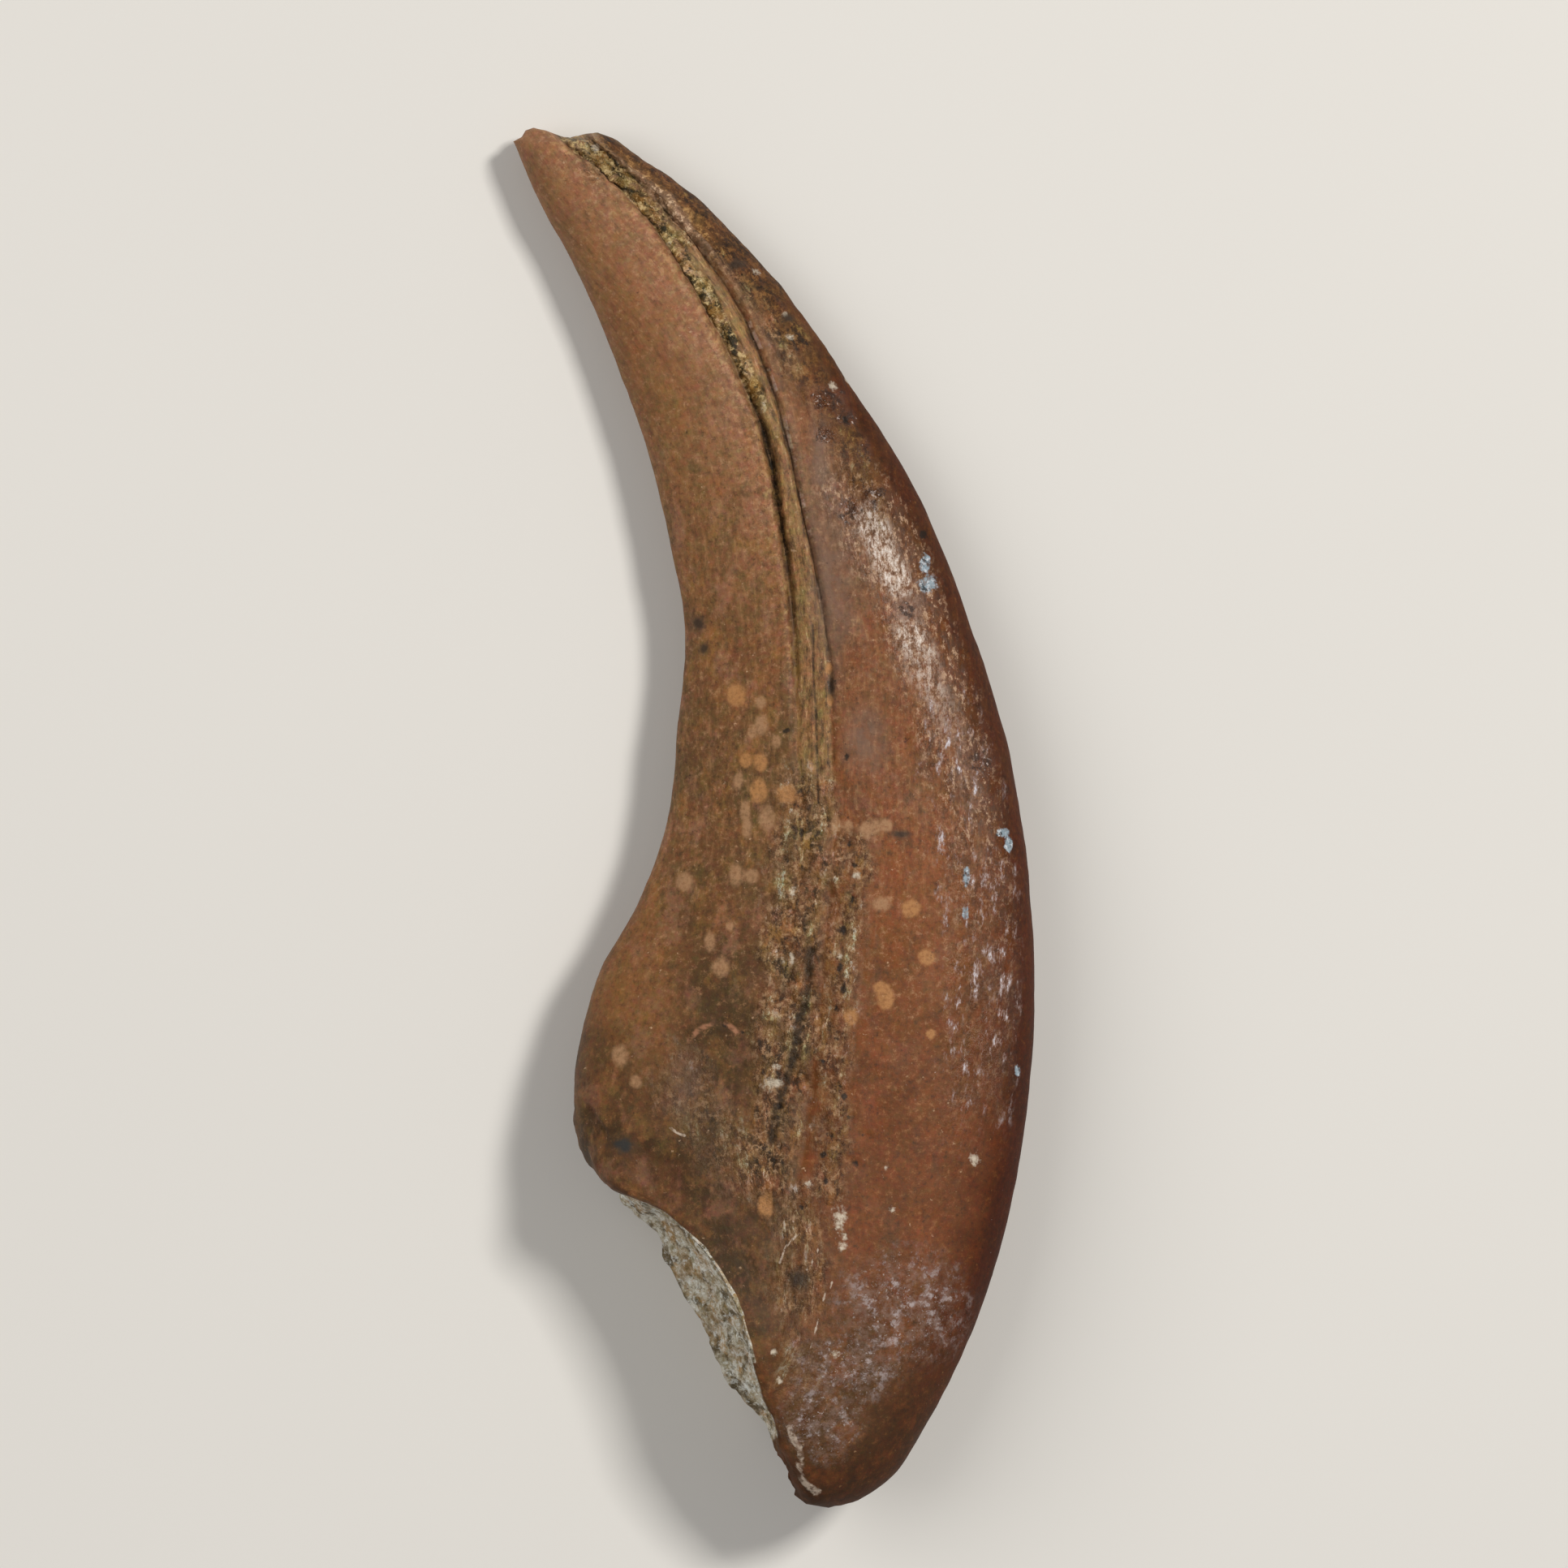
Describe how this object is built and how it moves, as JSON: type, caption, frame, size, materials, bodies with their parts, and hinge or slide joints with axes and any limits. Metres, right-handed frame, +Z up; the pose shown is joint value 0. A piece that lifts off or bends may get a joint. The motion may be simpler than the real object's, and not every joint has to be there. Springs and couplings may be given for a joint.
{
  "type": "fossil dromaeosaurus claw",
  "caption": "Curved fossil claw lying on its flank, with a long side groove, a blunt broken tip, a swollen tendon knob and a hollow joint facet.",
  "frame": {"origin": "centre of the claw's footprint box, on the surface it lies on", "axes": "+Z up, out of the flank that shows; +Y from the joint end to the tip; +X from the ventral to the dorsal side"},
  "size_m": [0.0176, 0.0468, 0.0072],
  "materials": {
    "fossil_bone": "warm reddish brown mineralised bone, semi-gloss on the dorsal flank, matt and flaky in the groove"
  },
  "bodies": {
    "root": {"claw": "fossil_bone"}
  },
  "joints": []
}
